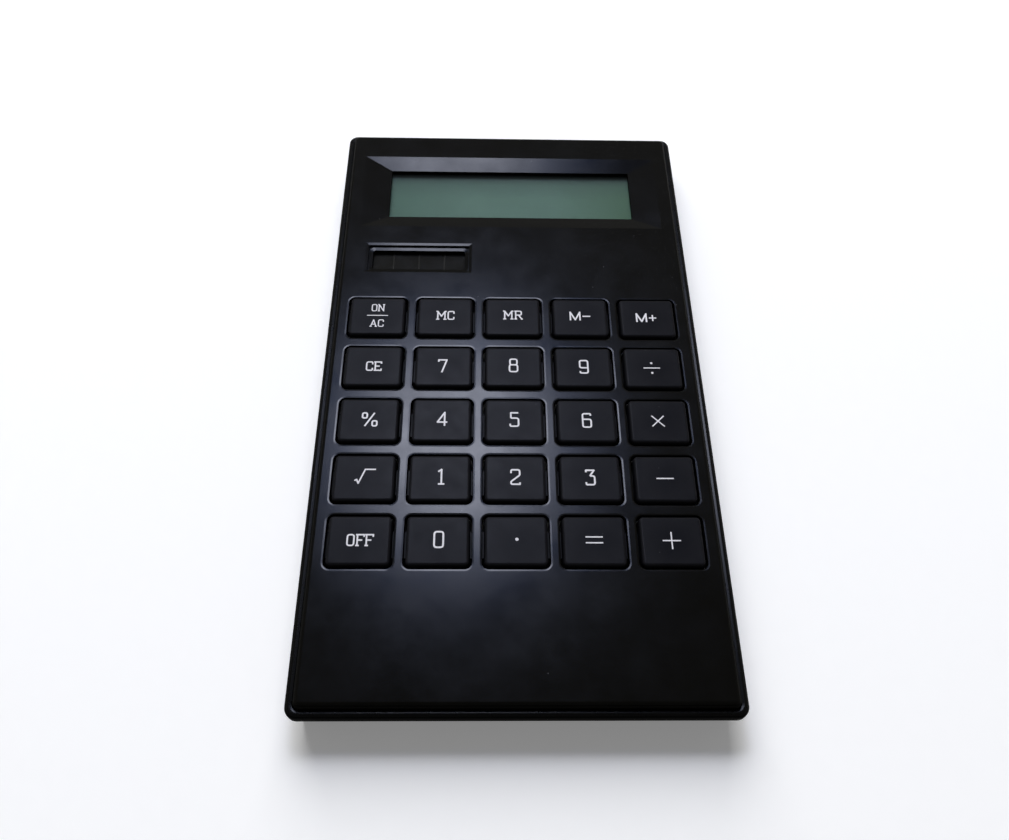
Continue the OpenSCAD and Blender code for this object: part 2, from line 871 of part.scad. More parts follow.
// Tray under the display, with ears that are screwed to the front cover
module lcd_frame() {
    lip_drop_z = 0.2;
    lip_z = front_glass_z - lip_drop_z;
    pocket_w = glass_w + 2 * glass_gap;
    pocket_h = rear_glass_h + 2 * glass_gap;
    vent_w = glass_w / 4;
    color([0.85, 0.85, 0.82])
        difference() {
            union() {
                translate([-holder_w / 2, rear_glass_y - tray_h / 2, holder_z])
                    cube([holder_w, tray_h, lip_z - holder_z]);
                for (x = [-1, 1], y = [-1, 1])
                    translate([
                        x * ear_x - ear_d / 2,
                        rear_glass_y + y * (tray_h - holder_t) / 2 - holder_t / 2,
                        holder_z
                    ])
                        cube([ear_d, holder_t, window_seat_z - holder_z]);
                at_ears()
                    translate([0, 0, window_seat_z - holder_t])
                        cylinder(d = ear_d, h = holder_t);
            }
            translate([-pocket_w / 2, rear_glass_y - pocket_h / 2, reflector_z])
                cube([pocket_w, pocket_h, face_z]);
            for (x = [-1, 0, 1])
                translate([x * glass_w / 3 - vent_w / 2, rear_glass_y - glass_h / 4, holder_z - cut])
                    cube([vent_w, glass_h / 2, holder_t + 2 * cut]);
            at_ears()
                cylinder(d = small_screw_d + 2 * shank_gap, h = face_z);
        }
}

// Flat ribbon from the display's contact ledge to the board
module lcd_ribbon() {
    mat_clear = 0.8;
    y3 = glass_y - glass_h / 2 - glass_gap;
    y2 = rear_glass_y - rear_glass_h / 2;
    y1 = board_y1;
    y0 = mat_y1 + mat_clear;
    low = board_z;
    high = front_glass_z;
    color([0.75, 0.55, 0.25])
        translate([ribbon_x0, 0, 0])
            rotate([90, 0, 90])
                linear_extrude(ribbon_x1 - ribbon_x0)
                    polygon([
                        [y0, low], [y1, low], [y2, high], [y3, high],
                        [y3, high + ribbon_t], [y2, high + ribbon_t],
                        [y1, low + ribbon_t], [y0, low + ribbon_t]
                    ]);
}

// Solar panel

module solar_glass() {
    color([0.2, 0.17, 0.16, 0.5])
        translate([solar_x - solar_pane_w / 2, solar_y - solar_pane_h / 2, solar_glass_z])
            cube([solar_pane_w, solar_pane_h, solar_glass_t]);
}

module solar_cells() {
    color([0.12, 0.09, 0.09])
        for (i = [0:solar_cell_count - 1])
            translate([
                solar_x - solar_pane_w / 2 + i * solar_pitch + solar_cell_gap / 2,
                solar_y - solar_pane_h / 2,
                solar_cell_z
            ])
                cube([solar_pitch - solar_cell_gap, solar_pane_h, solar_cell_t]);
}

// Wires

// Quarter bend in the YZ plane, from a leg along -Z to a run along -Y
module wire_bend() {
    translate([0, -wire_bend_r, -wire_bend_r])
        rotate([90, 0, 90])
            rotate_extrude(angle = 90)
                translate([wire_bend_r, 0])
                    circle(d = wire_d);
}

// Wire at x that leaves a point, runs along -Y at run_z and ends on the board.
// It rises to the run from a start below it, and drops to the run from a start above it.
module wire(x, y, z, run_z) {
    rising = z < run_z;
    leg_z = rising ? run_z - wire_bend_r : run_z + wire_bend_r;
    translate([x, y, min(z, leg_z)])
        cylinder(d = wire_d, h = abs(leg_z - z));
    translate([x, y, run_z])
        mirror([0, 0, rising ? 0 : 1])
            wire_bend();
    translate([x, y - wire_bend_r, run_z])
        rotate([90, 0, 0])
            cylinder(d = wire_d, h = y - wire_end_y - 2 * wire_bend_r);
    translate([x, wire_end_y, run_z])
        mirror([0, 1, 0])
            wire_bend();
    translate([x, wire_end_y, board_z])
        cylinder(d = wire_d, h = run_z - wire_bend_r - board_z);
}

module solar_wires() {
    color([0.1, 0.1, 0.12])
        for (x = [0.5, solar_cell_count - 0.5])
            wire(solar_x - solar_pane_w / 2 + x * solar_pitch, solar_y, solar_cell_z, solar_run_z);
}

module battery_wires() {
    color([0.6, 0.08, 0.06]) {
        wire(spring_foot_x, cell_y, pad_z + strip_t, wire_run_z);
        wire(cell_x, clip_foot_y, pad_z + strip_t, wire_run_z);
    }
}

// Keypad

module keypad_mat() {
    // The dome's hollow, from its foot to its roof
    roof_z = mat_t + dome_h - dome_wall;
    slope = (dome_d - dome_top_d) / 2 / dome_h;
    foot_r = dome_d / 2 - dome_wall;
    roof_r = foot_r - slope * (roof_z - mat_t);
    tip_gap = 0.1;
    tip_z = key_travel + tip_gap;
    hole_lap = dome_wall / 2;
    color([0.75, 0.76, 0.76]) {
        translate([0, 0, board_z])
            linear_extrude(mat_t)
                difference() {
                    translate([-board_w / 2, board_y0])
                        square([board_w, mat_y1 - board_y0]);
                    at_keys()
                        circle(d = dome_d - 2 * hole_lap);
                    at_board_posts()
                        circle(d = board_boss_d + 2 * glass_gap);
                }
        at_keys()
            translate([0, 0, board_z])
                rotate_extrude()
                    polygon([
                        [0, tip_z], [tip_d / 2, tip_z], [tip_d / 2, roof_z], [roof_r, roof_z],
                        [foot_r, mat_t], [foot_r, 0], [dome_d / 2, 0], [dome_d / 2, mat_t],
                        [dome_top_d / 2, mat_t + dome_h], [0, mat_t + dome_h]
                    ]);
    }
}

module circuit_board() {
    color([0.12, 0.3, 0.14])
        translate([0, 0, board_z - board_t])
            linear_extrude(board_t)
                difference() {
                    translate([-board_w / 2, board_y0])
                        square([board_w, board_y1 - board_y0]);
                    at_board_posts()
                        circle(d = small_screw_d + 2 * shank_gap);
                    // Notches that clear the case posts
                    for (x = [-1, 1])
                        translate([x * post_x, post_mid_y]) {
                            circle(d = post_d + 2 * glass_gap);
                            translate([x > 0 ? 0 : -board_w, -post_d / 2 - glass_gap])
                                square([board_w, board_w]);
                        }
                }
}

module chip_blob() {
    // Radius of the ball that the blob is a cap of
    ball_r = (blob_d * blob_d / 4 + blob_h * blob_h) / (2 * blob_h);
    color([0.04, 0.04, 0.04])
        translate([0, keys_y + key_pitch_y * 2, board_z - board_t])
            intersection() {
                translate([0, 0, ball_r - blob_h])
                    sphere(ball_r, $fn = 180);
                translate([0, 0, -blob_h])
                    cylinder(d = blob_d + cut, h = blob_h);
            }
}

module filter_capacitor() {
    capacitor_w = 3.6;
    capacitor_l = 2.4;
    capacitor_h = 2;
    corner_r = 0.6;
    edge_r = 0.3;
    post_clear = 4;
    color([0.25, 0.2, 0.1])
        translate([post_x - post_d - post_clear, post_mid_y, board_z])
            edged_block(capacitor_w, capacitor_l, corner_r, capacitor_h)
                round_top_profile(corner_r, capacitor_h, 0, edge_r);
}

module chip_resistors() {
    resistor = [2, 1.25, 0.5];
    spacing = 2.4;
    color([0.05, 0.05, 0.06])
        for (i = [-1, 0, 1])
            translate([
                blob_d, keys_y + key_pitch_y * 2 + i * spacing, board_z - board_t - resistor[2]
            ])
                cube(resistor);
}

module key_cap(row, column) {
    height = cap_z - tab_z;
    hollow_w = cap_w - 2 * key_wall;
    hollow_h = cap_h - 2 * key_wall;
    hollow_r = 0.6;
    rib_t = 0.8;
    color([0.05, 0.05, 0.052])
        at_key(row, column)
            translate([0, 0, tab_z]) {
                difference() {
                    union() {
                        edged_block(cap_w, cap_h, cap_r, height)
                            round_top_profile(cap_r, height, key_draft, key_edge_r);
                        // Tabs that hold the key under the face
                        linear_extrude(tab_t) {
                            square([opening_w + 2 * tab_lap, tab_l], center = true);
                            square([tab_l, opening_h + 2 * tab_lap], center = true);
                        }
                    }
                    translate([0, 0, -cut])
                        rounded_block(hollow_w, hollow_h, hollow_r, height - key_top_t + cut);
                }
                // Plunger that rests on the dome, and its stiffening ribs
                translate([0, 0, dome_z - tab_z])
                    cylinder(d = plunger_d, h = cap_z - key_top_t / 2 - dome_z);
                translate([-cap_w / 2 + key_wall / 2, -rib_t / 2, tab_t])
                    cube([cap_w - key_wall, rib_t, height - key_top_t / 2 - tab_t]);
                translate([-rib_t / 2, -cap_h / 2 + key_wall / 2, tab_t])
                    cube([rib_t, cap_h - key_wall, height - key_top_t / 2 - tab_t]);
            }
}

// Battery

module button_cell() {
    cap_inset = 1.1;
    step = 0.35;
    edge = 0.25;
    color([0.7, 0.7, 0.72])
        at_cell()
            translate([0, 0, cell_z])
                rotate_extrude()
                    polygon([
                        [0, 0], [cell_d / 2 - edge, 0], [cell_d / 2, edge],
                        [cell_d / 2, cell_h - step - edge],
                        [cell_d / 2 - edge, cell_h - step], [cell_d / 2 - cap_inset, cell_h - step],
                        [cell_d / 2 - cap_inset - edge, cell_h], [0, cell_h]
                    ]);
}

// Strip over the cell's cap: foot, leg and arm
module battery_spring() {
    arm_past_middle = 1;
    x0 = spring_leg_x - strip_foot_l;
    x1 = spring_leg_x;
    x2 = cell_x + arm_past_middle;
    top = strip_arm_z + strip_t;
    color([0.75, 0.72, 0.6])
        translate([0, cell_y + strip_w / 2, 0])
            rotate([90, 0, 0])
                linear_extrude(strip_w)
                    polygon([
                        [x0, pad_z], [x1, pad_z], [x1, strip_arm_z], [x2, strip_arm_z], [x2, top],
                        [x1 - strip_t, top], [x1 - strip_t, pad_z + strip_t], [x0, pad_z + strip_t]
                    ]);
}

// Strip against the cell's side: foot and leg
module battery_clip() {
    y0 = cell_y + cell_d / 2;
    y1 = clip_foot_y + strip_foot_l / 2;
    below_top = 0.7;
    top = cell_z + cell_h - below_top;
    color([0.75, 0.72, 0.6])
        translate([cell_x - strip_w / 2, 0, 0])
            rotate([90, 0, 90])
                linear_extrude(strip_w)
                    polygon([
                        [y0 + cell_gap, pad_z], [y1, pad_z], [y1, pad_z + strip_t],
                        [y0 + cell_gap + strip_t, pad_z + strip_t], [y0 + strip_t, top], [y0, top]
                    ]);
}

module battery_door() {
    color([0.06, 0.06, 0.065])
        difference() {
            at_door()
                translate([0, 0, base_z])
                    rounded_block(door_w, door_h, door_r, door_t);
            at_door_screw() {
                translate([0, 0, base_z - cut])
                    cylinder(d = head_d + 2 * head_gap, h = cut + door_head_t + door_head_sink);
                cylinder(d = case_screw_d + 2 * shank_gap, h = face_z);
            }
        }
}

module door_screw() {
    shank_l = door_post_z - 1 - base_z - door_head_t;
    color([0.5, 0.5, 0.52])
        at_door_screw()
            translate([0, 0, base_z + door_head_t + door_head_sink])
                screw(case_screw_d, shank_l, head_d, door_head_t);
}

rear_cover();
front_cover();
rubber_feet();
case_screws();
display_window();
lcd_front_polariser();
lcd_front_glass();
lcd_rear_glass();
lcd_reflector();
lcd_frame();
display_screws();
lcd_ribbon();
solar_glass();
solar_cells();
solar_wires();
keypad_mat();
circuit_board();
board_screws();
chip_blob();
filter_capacitor();
chip_resistors();
button_cell();
battery_spring();
battery_clip();
battery_wires();
battery_door();
door_screw();
for (i = [0:len(key_names) - 1])
    key_cap(floor(i / columns), i % columns);
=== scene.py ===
# Looks of the slim desk calculator: materials, printed legends, keypad mat, studio and camera.
# Metres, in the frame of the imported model.
import math

import bpy
from mathutils import Matrix, Vector
from mathutils.geometry import delaunay_2d_cdt


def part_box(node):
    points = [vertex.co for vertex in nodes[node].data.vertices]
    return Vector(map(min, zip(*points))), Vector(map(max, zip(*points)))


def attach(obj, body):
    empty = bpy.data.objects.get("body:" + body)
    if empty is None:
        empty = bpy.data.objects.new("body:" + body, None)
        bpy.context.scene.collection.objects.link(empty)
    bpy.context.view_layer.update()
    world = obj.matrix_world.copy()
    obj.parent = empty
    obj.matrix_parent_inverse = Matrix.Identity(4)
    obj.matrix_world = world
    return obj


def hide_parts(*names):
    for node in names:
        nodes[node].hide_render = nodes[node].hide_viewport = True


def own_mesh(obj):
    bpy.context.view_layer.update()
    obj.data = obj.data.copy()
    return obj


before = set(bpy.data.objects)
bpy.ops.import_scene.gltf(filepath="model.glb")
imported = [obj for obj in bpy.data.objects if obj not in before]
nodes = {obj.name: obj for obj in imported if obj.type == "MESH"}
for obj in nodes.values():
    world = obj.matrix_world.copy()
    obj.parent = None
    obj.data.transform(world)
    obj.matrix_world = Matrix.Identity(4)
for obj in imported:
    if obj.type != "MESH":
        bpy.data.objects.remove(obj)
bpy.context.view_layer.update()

MM = 0.001

# Colour of the dust on the plastics, and the height of their grain in metres
DUST = (0.12, 0.12, 0.13)
GRAIN_HEIGHT = 0.00002
# Nearly all of a noise lies in this range
NOISE_RANGE = (0.3, 0.7)

# Key names in reading order, as in the model
KEYS = [
    "on_ac", "mc", "mr", "m_minus", "m_plus",
    "ce", "7", "8", "9", "divide",
    "percent", "4", "5", "6", "multiply",
    "root", "1", "2", "3", "minus",
    "off", "0", "point", "equals", "plus",
]


# Node helpers

def new_material(name):
    """A material with one Principled shader; returns the material, its tree and the shader."""
    material = bpy.data.materials.new(name)
    material.use_nodes = True
    tree = material.node_tree
    return material, tree, tree.nodes["Principled BSDF"]


def add(tree, kind, **values):
    """A node of that kind, with its properties set."""
    node = tree.nodes.new(kind)
    for key, value in values.items():
        setattr(node, key, value)
    return node


def coords(tree, output="Object"):
    return add(tree, "ShaderNodeTexCoord").outputs[output]


def axes(tree, vector):
    """The X, Y and Z of a vector, by name."""
    node = add(tree, "ShaderNodeSeparateXYZ")
    tree.links.new(vector, node.inputs["Vector"])
    return node.outputs


def upward(tree):
    """How far the surface faces up: 1 on a flat top, 0 on an upright side, -1 underneath."""
    return axes(tree, add(tree, "ShaderNodeNewGeometry").outputs["Normal"])["Z"]


def noise(tree, vector, scale, detail=4.0, roughness=0.6):
    node = add(tree, "ShaderNodeTexNoise")
    node.inputs["Scale"].default_value = scale
    node.inputs["Detail"].default_value = detail
    node.inputs["Roughness"].default_value = roughness
    tree.links.new(vector, node.inputs["Vector"])
    return node.outputs["Fac"]


def spread(tree, value, given, wanted):
    """Maps the range given to the range wanted, clamped."""
    node = add(tree, "ShaderNodeMapRange")
    for side, limits in (("From", given), ("To", wanted)):
        for end, number in zip(("Min", "Max"), limits):
            node.inputs[side + " " + end].default_value = number
    tree.links.new(value, node.inputs["Value"])
    return node.outputs["Result"]


def vary(tree, value, low, high):
    """From low to high with a noise."""
    return spread(tree, value, NOISE_RANGE, (low, high))


def math_node(tree, operation, first, second=None):
    node = add(tree, "ShaderNodeMath", operation=operation)
    for i, value in enumerate((first, second)):
        if value is None:
            continue
        if isinstance(value, (int, float)):
            node.inputs[i].default_value = value
        else:
            tree.links.new(value, node.inputs[i])
    return node.outputs[0]


def ramp(tree, value, *stops):
    """Colour ramp through (position, (r, g, b)) stops."""
    node = add(tree, "ShaderNodeValToRGB")
    elements = node.color_ramp.elements
    while len(elements) < len(stops):
        elements.new(0.5)
    for element, (position, colour) in zip(elements, stops):
        element.position = position
        element.color = (*colour, 1.0)
    tree.links.new(value, node.inputs["Fac"])
    return node.outputs["Color"]


def two_tones(tree, value, dark, light):
    """From dark to light with a noise."""
    return ramp(tree, value, *zip(NOISE_RANGE, (dark, light)))


def blend_colour(tree, factor, first, second):
    node = add(tree, "ShaderNodeMix", data_type="RGBA")
    tree.links.new(factor, node.inputs["Factor"])
    for socket, value in ((node.inputs[6], first), (node.inputs[7], second)):
        if isinstance(value, tuple):
            socket.default_value = (*value, 1.0)
        else:
            tree.links.new(value, socket)
    return node.outputs[2]


def bump(tree, shader, height, strength, distance=GRAIN_HEIGHT):
    node = add(tree, "ShaderNodeBump")
    node.inputs["Strength"].default_value = strength
    node.inputs["Distance"].default_value = distance
    tree.links.new(height, node.inputs["Height"])
    tree.links.new(node.outputs["Normal"], shader.inputs["Normal"])


def fine_grain(tree, shader, vector, scale, strength):
    """An even grain in the surface."""
    bump(tree, shader, noise(tree, vector, scale, detail=2.0, roughness=0.5), strength)


def specks(tree, vector, scale, size, share):
    """1 on small round specks, one in a share of the cells, 0 elsewhere."""
    cell = add(tree, "ShaderNodeTexVoronoi", feature="F1")
    cell.inputs["Scale"].default_value = scale
    tree.links.new(vector, cell.inputs["Vector"])
    spot = spread(tree, cell.outputs["Distance"], (size, size * 0.4), (0.0, 1.0))
    split = add(tree, "ShaderNodeSeparateColor")
    tree.links.new(cell.outputs["Color"], split.inputs["Color"])
    chosen = math_node(tree, "LESS_THAN", split.outputs["Red"], share)
    return math_node(tree, "MULTIPLY", spot, chosen)


# Materials

def moulded(name, dark, light, rough_low, rough_high, grain, depth, dust):
    """Black moulded plastic, a little dusty: polished on the flat, dull on slopes and edges."""
    material, tree, shader = new_material(name)
    place = coords(tree)
    tone = two_tones(tree, noise(tree, place, 45.0), dark, light)
    flecks = specks(tree, place, scale=300.0, size=0.06, share=0.1)
    shown = math_node(tree, "MULTIPLY", flecks, dust)
    tree.links.new(blend_colour(tree, shown, tone, DUST), shader.inputs["Base Color"])
    # The drafted sides and the underside face down and count as slopes, not as upright edges
    up = upward(tree)
    under = spread(tree, up, (0.0, -0.25), (0.0, 0.8))
    flat = math_node(tree, "MAXIMUM", up, under)
    polish = vary(tree, noise(tree, place, 85.0, detail=5.0), rough_low, rough_high)
    dull = spread(tree, flat, (0.9, 0.55), (0.0, 0.3))
    tree.links.new(math_node(tree, "ADD", polish, dull), shader.inputs["Roughness"])
    edge_shine = spread(tree, flat, (0.75, 0.97), (0.02, 0.5))
    slope_shine = spread(tree, flat, (0.986, 0.994), (0.72, 1.0))
    shine = math_node(tree, "MULTIPLY", edge_shine, slope_shine)
    tree.links.new(shine, shader.inputs["Specular IOR Level"])
    fine_grain(tree, shader, place, grain, depth)
    return material


def key_plastic():
    """Matt key plastic: the top is painted paler towards its edges, as the shading of a dished top;
    the sides are dark and dull.
    """
    material, tree, shader = new_material("key_plastic")
    place = coords(tree)
    share = axes(tree, coords(tree, "Generated"))
    squares = []
    for axis in ("X", "Y"):
        off = math_node(tree, "SUBTRACT", share[axis], 0.5)
        squares.append(math_node(tree, "MULTIPLY", off, off))
    reach = math_node(tree, "SQRT", math_node(tree, "ADD", *squares))
    edge = spread(tree, reach, (0.10, 0.42), (0.0, 1.0))
    cloud = noise(tree, place, 130.0)
    tone = two_tones(tree, cloud, (0.0038, 0.0038, 0.0052), (0.0049, 0.0049, 0.0065))
    side_to_top = (0.12, 1.0)
    on_top = spread(tree, upward(tree), (0.5, 0.85), side_to_top)
    # Painted shading of a dished top: the top is made paler towards its edges and stays darker in
    # its middle, uneven with a noise, and the sides are left out
    painted_dish_shading = math_node(tree, "MULTIPLY", edge, vary(tree, cloud, 0.25, 0.7))
    painted_dish_shading = math_node(tree, "MULTIPLY", painted_dish_shading, on_top)
    colour = blend_colour(tree, painted_dish_shading, tone, (0.0106, 0.0106, 0.0126))
    flecks = specks(tree, place, scale=520.0, size=0.08, share=0.08)
    shown = math_node(tree, "MULTIPLY", flecks, 0.35)
    tree.links.new(blend_colour(tree, shown, colour, DUST), shader.inputs["Base Color"])
    polish = vary(tree, noise(tree, place, 240.0), 0.36, 0.42)
    dull = spread(tree, on_top, side_to_top, (0.3, 0.0))
    tree.links.new(math_node(tree, "ADD", polish, dull), shader.inputs["Roughness"])
    shader.inputs["Specular IOR Level"].default_value = 0.19
    fine_grain(tree, shader, place, 3500.0, 0.08)
    return material


def plain_grain(name, dark, light, rough, scale, depth=0.1):
    """A surface with a cloudy tone, uneven roughness and a fine grain."""
    material, tree, shader = new_material(name)
    place = coords(tree)
    cloud = noise(tree, place, scale)
    tree.links.new(two_tones(tree, cloud, dark, light), shader.inputs["Base Color"])
    fine = noise(tree, place, scale * 6, detail=3.0, roughness=0.5)
    tree.links.new(vary(tree, fine, rough - 0.05, rough + 0.05), shader.inputs["Roughness"])
    bump(tree, shader, fine, depth, 1.5 * GRAIN_HEIGHT)
    return material


def scratched_metal(name, dark, light, rough, scale):
    """Plated metal with fine scratches along X."""
    material, tree, shader = new_material(name)
    stretch = add(tree, "ShaderNodeMapping")
    stretch.inputs["Scale"].default_value = (0.08, 1.0, 1.0)
    tree.links.new(coords(tree), stretch.inputs["Vector"])
    lines = noise(tree, stretch.outputs["Vector"], scale, roughness=0.7)
    tree.links.new(two_tones(tree, lines, dark, light), shader.inputs["Base Color"])
    tree.links.new(vary(tree, lines, rough - 0.06, rough + 0.08), shader.inputs["Roughness"])
    bump(tree, shader, lines, 0.08)
    shader.inputs["Metallic"].default_value = 1.0
    return material


def clear_sheet(name, colour, clear, rough):
    """Clear sheet that shows what is under it, and gloss at low angles."""
    material, tree, shader = new_material(name)
    haze = noise(tree, coords(tree), 60.0)
    darker = tuple(c * 0.9 for c in colour)
    tree.links.new(two_tones(tree, haze, darker, colour), shader.inputs["Base Color"])
    tree.links.new(vary(tree, haze, rough, rough + 0.04), shader.inputs["Roughness"])
    fresnel = add(tree, "ShaderNodeFresnel")
    fresnel.inputs["IOR"].default_value = 1.49
    glare = math_node(tree, "MULTIPLY", fresnel.outputs["Fac"], 0.8)
    tree.links.new(math_node(tree, "ADD", glare, clear), shader.inputs["Alpha"])
    return material


def display_film():
    """The display's grey-green film: darker at both ends, with a painted shadow along the top,
    faintly mottled.
    """
    material, tree, shader = new_material("display_film")
    place = coords(tree)
    at = axes(tree, place)
    low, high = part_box("display_window")
    across = spread(tree, at["X"], (low.x, high.x), (0.0, 1.0))
    middle = (0.224, 0.405, 0.315)
    tone = ramp(
        tree, across,
        (0.05, (0.150, 0.305, 0.225)), (0.33, middle),
        (0.67, middle), (0.95, (0.140, 0.290, 0.180)),
    )
    # Painted shadow of the window's wall: the film darkens from its middle towards the top, and
    # more in a band just under the top edge
    top = high.y - 2 * MM
    dull = spread(tree, at["Y"], ((low.y + high.y) / 2, top), (0.0, 0.75))
    tone = blend_colour(tree, dull, tone, (0.095, 0.170, 0.150))
    shade = spread(tree, at["Y"], (top - 4 * MM, top), (0.0, 0.55))
    tone = blend_colour(tree, shade, tone, (0.03, 0.05, 0.05))
    mottle = noise(tree, place, 90.0, detail=3.0, roughness=0.5)
    tone = blend_colour(tree, vary(tree, mottle, 0.0, 0.12), tone, (0.15, 0.26, 0.20))
    tree.links.new(tone, shader.inputs["Base Color"])
    tree.links.new(vary(tree, mottle, 0.38, 0.46), shader.inputs["Roughness"])
    fine_grain(tree, shader, place, 3000.0, 0.04)
    return material


SOLAR_CELLS = 4


def solar_film():
    """Dark solar glass: four brown-black cells with paler lines between them."""
    material, tree, shader = new_material("solar_film")
    place = coords(tree)
    low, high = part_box("solar_glass")
    pitch = (high.x - low.x) / SOLAR_CELLS
    along = math_node(tree, "SUBTRACT", axes(tree, place)["X"], low.x)
    steps = math_node(tree, "DIVIDE", along, pitch)
    off = math_node(tree, "PINGPONG", steps, 0.5)
    line = spread(tree, off, (0.035, 0.02), (0.0, 1.0))
    cloud = noise(tree, place, 260.0)
    tone = two_tones(tree, cloud, (0.0082, 0.0078, 0.0064), (0.0106, 0.0102, 0.0085))
    tone = blend_colour(tree, line, tone, (0.0215, 0.0212, 0.0185))
    tree.links.new(tone, shader.inputs["Base Color"])
    tree.links.new(vary(tree, cloud, 0.11, 0.16), shader.inputs["Roughness"])
    fine_grain(tree, shader, place, 2500.0, 0.05)
    return material


def ink_material():
    """Printed off-white ink, slightly uneven."""
    material, tree, shader = new_material("legend_ink")
    cover = noise(tree, coords(tree), 900.0, detail=3.0)
    ink = two_tones(tree, cover, (0.72, 0.71, 0.75), (0.84, 0.83, 0.86))
    tree.links.new(ink, shader.inputs["Base Color"])
    tree.links.new(vary(tree, cover, 0.5, 0.65), shader.inputs["Roughness"])
    bump(tree, shader, cover, 0.1, GRAIN_HEIGHT / 2)
    return material


face_plastic = moulded(
    "face_plastic", (0.0017, 0.0015, 0.0009), (0.0026, 0.0024, 0.0017),
    rough_low=0.17, rough_high=0.25, grain=3000.0, depth=0.03, dust=0.5,
)
case_plastic = moulded(
    "case_plastic", (0.0017, 0.0016, 0.0012), (0.0026, 0.0025, 0.0021),
    rough_low=0.25, rough_high=0.30, grain=2600.0, depth=0.06, dust=0.3,
)
key_finish = key_plastic()
film_finish = display_film()
solar_finish = solar_film()
ink_finish = ink_material()
steel_finish = scratched_metal("plated_steel", (0.30, 0.30, 0.31), (0.46, 0.46, 0.47), 0.36, 4000.0)
cell_finish = scratched_metal("cell_steel", (0.50, 0.50, 0.51), (0.66, 0.66, 0.67), 0.26, 3000.0)
contact_finish = scratched_metal(
    "contact_plate", (0.52, 0.48, 0.38), (0.68, 0.64, 0.54), 0.30, 3000.0
)
rubber_finish = plain_grain(
    "foot_rubber", (0.014, 0.014, 0.014), (0.022, 0.022, 0.022), 0.72, 500.0, depth=0.2
)
window_finish = clear_sheet("clear_window", (0.24, 0.26, 0.25), 0.03, 0.05)
glass_finish = clear_sheet("display_glass", (0.30, 0.34, 0.32), 0.12, 0.06)
reflector_finish = plain_grain(
    "pearl_reflector", (0.30, 0.36, 0.31), (0.38, 0.44, 0.38), 0.4, 700.0
)
holder_finish = plain_grain("white_holder", (0.62, 0.62, 0.59), (0.70, 0.70, 0.67), 0.5, 300.0)
ribbon_finish = plain_grain("amber_ribbon", (0.40, 0.24, 0.07), (0.50, 0.32, 0.11), 0.3, 400.0)
dark_wire_finish = plain_grain(
    "dark_sleeve", (0.012, 0.012, 0.014), (0.02, 0.02, 0.023), 0.4, 900.0
)
red_wire_finish = plain_grain("red_sleeve", (0.30, 0.02, 0.015), (0.40, 0.035, 0.025), 0.4, 900.0)
silicone_finish = plain_grain(
    "silicone", (0.50, 0.51, 0.51), (0.58, 0.59, 0.59), 0.6, 350.0, depth=0.15
)
board_finish = plain_grain("board_resist", (0.012, 0.055, 0.02), (0.02, 0.085, 0.03), 0.35, 250.0)
potting_finish = plain_grain(
    "black_potting", (0.006, 0.006, 0.006), (0.011, 0.011, 0.011), 0.25, 300.0
)
capacitor_finish = plain_grain("tan_ceramic", (0.09, 0.06, 0.02), (0.13, 0.09, 0.035), 0.45, 700.0)

FINISHES = {
    "front_cover": face_plastic,
    "rear_cover": case_plastic,
    "battery_door": case_plastic,
    "rubber_feet": rubber_finish,
    "case_screws": steel_finish,
    "board_screws": steel_finish,
    "display_screws": steel_finish,
    "door_screw": steel_finish,
    "display_window": window_finish,
    "lcd_front_polariser": film_finish,
    "lcd_front_glass": glass_finish,
    "lcd_rear_glass": glass_finish,
    "lcd_reflector": reflector_finish,
    "lcd_frame": holder_finish,
    "lcd_ribbon": ribbon_finish,
    "solar_glass": solar_finish,
    "solar_cells": potting_finish,
    "solar_wires": dark_wire_finish,
    "battery_wires": red_wire_finish,
    "circuit_board": board_finish,
    "chip_blob": potting_finish,
    "chip_resistors": potting_finish,
    "filter_capacitor": capacitor_finish,
    "button_cell": cell_finish,
    "battery_spring": contact_finish,
    "battery_clip": contact_finish,
}
for name in KEYS:
    FINISHES["key_" + name] = key_finish

for name, finish in FINISHES.items():
    nodes[name].data.materials.clear()
    nodes[name].data.materials.append(finish)


# Printed legends, in millimetres

# How far the ink reaches below and above the top of its key
INK_BELOW = 0.01
INK_ABOVE = 0.02
# Facets of a rounded corner, of the round joint of two strokes and of a dot or hole
ARC_STEPS = 5
JOINT_SIDES = 12
DOT_SIDES = 24
# The most of a leg that the rounding of one of its corners takes
CORNER_SHARE = 0.49
# Points nearer than this are merged, and legs shorter than this are left out
MERGE = 1e-5
TINY = 1e-6


def rounded(points, radius, closed=False):
    """The polyline with its corners rounded."""
    out = []
    count = len(points)
    for i, point in enumerate(points):
        if not closed and i in (0, count - 1):
            out.append(Vector(point))
            continue
        here = Vector(point)
        before = Vector(points[i - 1]) - here
        after = Vector(points[(i + 1) % count]) - here
        turn = before.angle(after)
        back = min(radius / math.tan(turn / 2), CORNER_SHARE * min(before.length, after.length))
        first = here + before.normalized() * back
        last = here + after.normalized() * back
        for step in range(ARC_STEPS + 1):
            t = step / ARC_STEPS
            out.append((1 - t) ** 2 * first + 2 * t * (1 - t) * here + t ** 2 * last)
    if closed:
        out.append(out[0])
    return [tuple(p) for p in out]


def box_loop(x0, y0, x1, y1, radius):
    return rounded([(x0, y0), (x1, y0), (x1, y1), (x0, y1)], radius, closed=True)


def disc(x, y, radius, sides=JOINT_SIDES):
    turns = [2 * math.pi * i / sides for i in range(sides)]
    return [(x + radius * math.cos(turn), y + radius * math.sin(turn)) for turn in turns]


